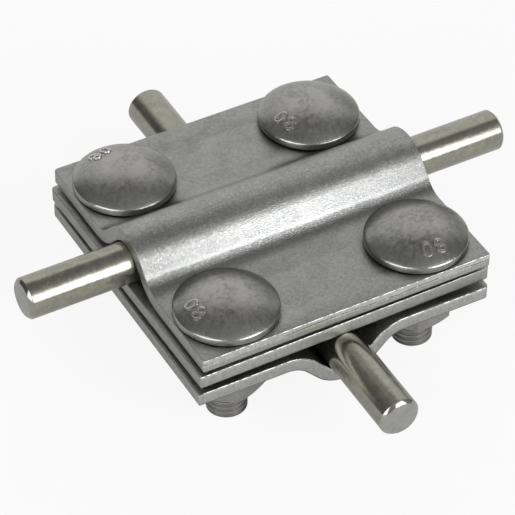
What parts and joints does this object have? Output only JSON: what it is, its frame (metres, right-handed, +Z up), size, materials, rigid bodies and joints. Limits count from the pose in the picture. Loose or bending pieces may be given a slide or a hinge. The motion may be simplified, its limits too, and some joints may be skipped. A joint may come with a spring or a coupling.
{
  "type": "cross connector",
  "caption": "Cross connector for round conductors: ridged outer clamp plates and a flat middle plate, drawn together by mushroom head bolts, shown on crossing sample rods.",
  "frame": {"origin": "on the plane of the bolt tips, midway between the four bolts", "axes": "+X along the upper conductor, +Y along the lower conductor, +Z up from the bolt tips to the heads"},
  "size_m": [0.1, 0.1, 0.0311],
  "materials": {
    "plate": "stainless sheet, tumbled to a fine matt grain, bright burrs along its sheared edges",
    "fastener": "cold formed stainless, satin, faintly warm",
    "conductor": "drawn round stainless wire, smooth satin"
  },
  "bodies": {
    "clamp_top": {"top_plate": "plate", "bolt_front_left": "fastener", "bolt_front_right": "fastener", "bolt_back_left": "fastener", "bolt_back_right": "fastener"},
    "clamp_bottom": {"bottom_plate": "plate", "middle_plate": "plate"},
    "front_left_turning": {"nut_front_left": "fastener"},
    "front_right_turning": {"nut_front_right": "fastener"},
    "back_left_turning": {"nut_back_left": "fastener"},
    "back_right_turning": {"nut_back_right": "fastener"},
    "upper_sliding": {"upper_conductor": "conductor"},
    "lower_sliding": {"lower_conductor": "conductor"}
  },
  "joints": [
    {"name": "clamp_opening", "type": "slide", "parent": "clamp_top", "child": "clamp_bottom", "axis": [0, 0, -1], "range_m": [0, 0.0025]},
    {"name": "nut_front_left_turning", "type": "hinge", "parent": "clamp_bottom", "child": "front_left_turning", "pos_m": [-0.02, -0.02, 0.0137], "axis": [0, 0, -1], "range_deg": [0, 720]},
    {"name": "nut_front_right_turning", "type": "hinge", "parent": "clamp_bottom", "child": "front_right_turning", "pos_m": [0.02, -0.02, 0.0137], "axis": [0, 0, -1], "range_deg": [0, 720]},
    {"name": "nut_back_left_turning", "type": "hinge", "parent": "clamp_bottom", "child": "back_left_turning", "pos_m": [-0.02, 0.02, 0.0137], "axis": [0, 0, -1], "range_deg": [0, 720]},
    {"name": "nut_back_right_turning", "type": "hinge", "parent": "clamp_bottom", "child": "back_right_turning", "pos_m": [0.02, 0.02, 0.0137], "axis": [0, 0, -1], "range_deg": [0, 720]},
    {"name": "upper_conductor_sliding", "type": "slide", "parent": "clamp_bottom", "child": "upper_sliding", "axis": [1, 0, 0], "range_m": [-0.019, 0.019]},
    {"name": "lower_conductor_sliding", "type": "slide", "parent": "clamp_bottom", "child": "lower_sliding", "axis": [0, 1, 0], "range_m": [-0.019, 0.019]}
  ],
  "couplings": [
    {"joint": "nut_front_left_turning", "follows": "clamp_opening", "rad_per_m": 5026.5},
    {"joint": "nut_front_right_turning", "follows": "clamp_opening", "rad_per_m": 5026.5},
    {"joint": "nut_back_left_turning", "follows": "clamp_opening", "rad_per_m": 5026.5},
    {"joint": "nut_back_right_turning", "follows": "clamp_opening", "rad_per_m": 5026.5}
  ]
}
